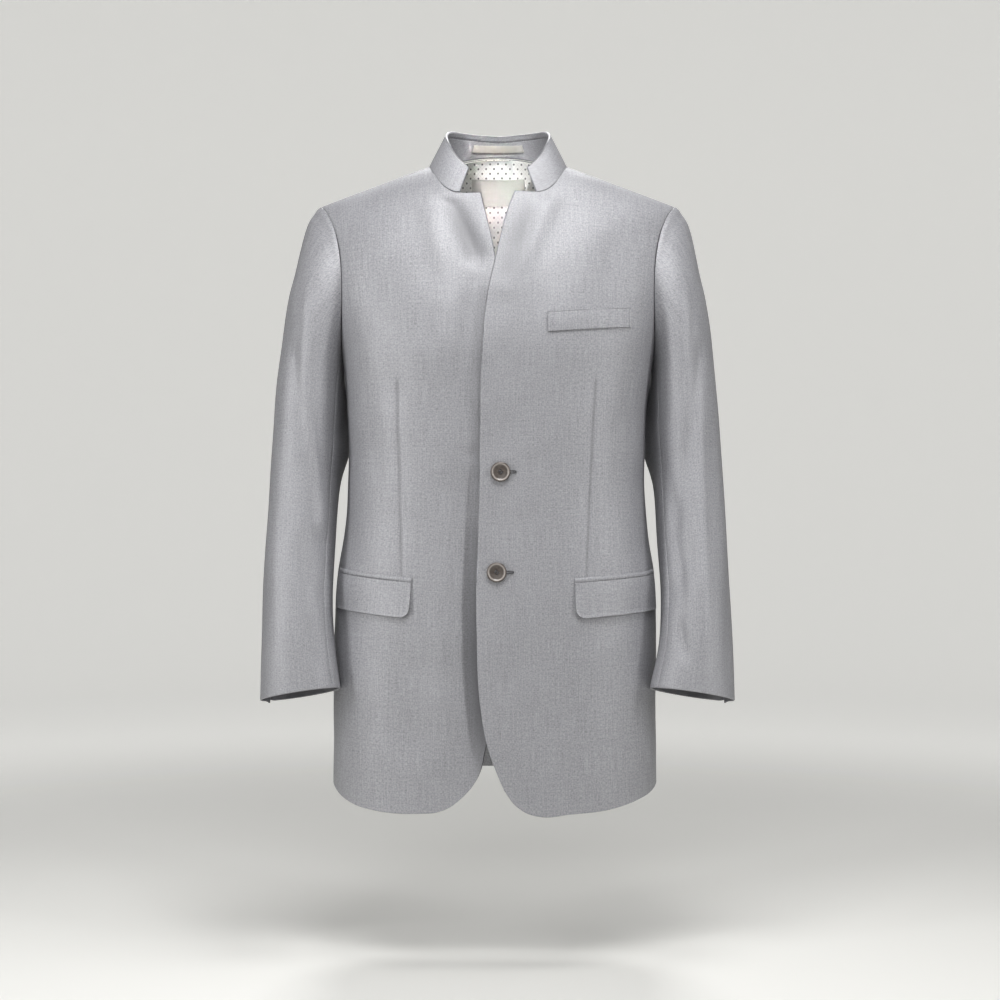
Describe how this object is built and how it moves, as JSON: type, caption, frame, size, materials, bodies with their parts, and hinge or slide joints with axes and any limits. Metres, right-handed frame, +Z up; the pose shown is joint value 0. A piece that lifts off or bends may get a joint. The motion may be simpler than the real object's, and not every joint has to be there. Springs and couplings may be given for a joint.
{
  "type": "blazer",
  "caption": "Hollow single-breasted blazer filled out as worn, with a stand collar, welt and flap pockets and rounded fronts.",
  "frame": {"origin": "centre of the neck base, level with the side neck points, where the wearer's shoulders carry it", "axes": "+Z up the neck, front faces -Y, +X towards the wearer's left sleeve"},
  "size_m": [0.6, 0.2514, 0.8818],
  "materials": {
    "suiting": "satin",
    "lining": "satin",
    "patch": "satin",
    "button": "gloss"
  },
  "bodies": {
    "root": {"front_left": "suiting", "front_right": "suiting", "side_left": "suiting", "back_left": "suiting", "sleeve_left_top": "suiting", "sleeve_left_under": "suiting", "side_right": "suiting", "back_right": "suiting", "sleeve_right_top": "suiting", "sleeve_right_under": "suiting", "collar_outer": "suiting", "collar_inner": "suiting", "hanger_tab": "patch", "lining_back": "lining", "label_patch": "patch", "breast_welt": "suiting", "jet_left": "suiting", "flap_left": "suiting", "jet_right": "suiting", "flap_right": "suiting", "button_upper": "button", "button_lower": "button"}
  },
  "joints": []
}
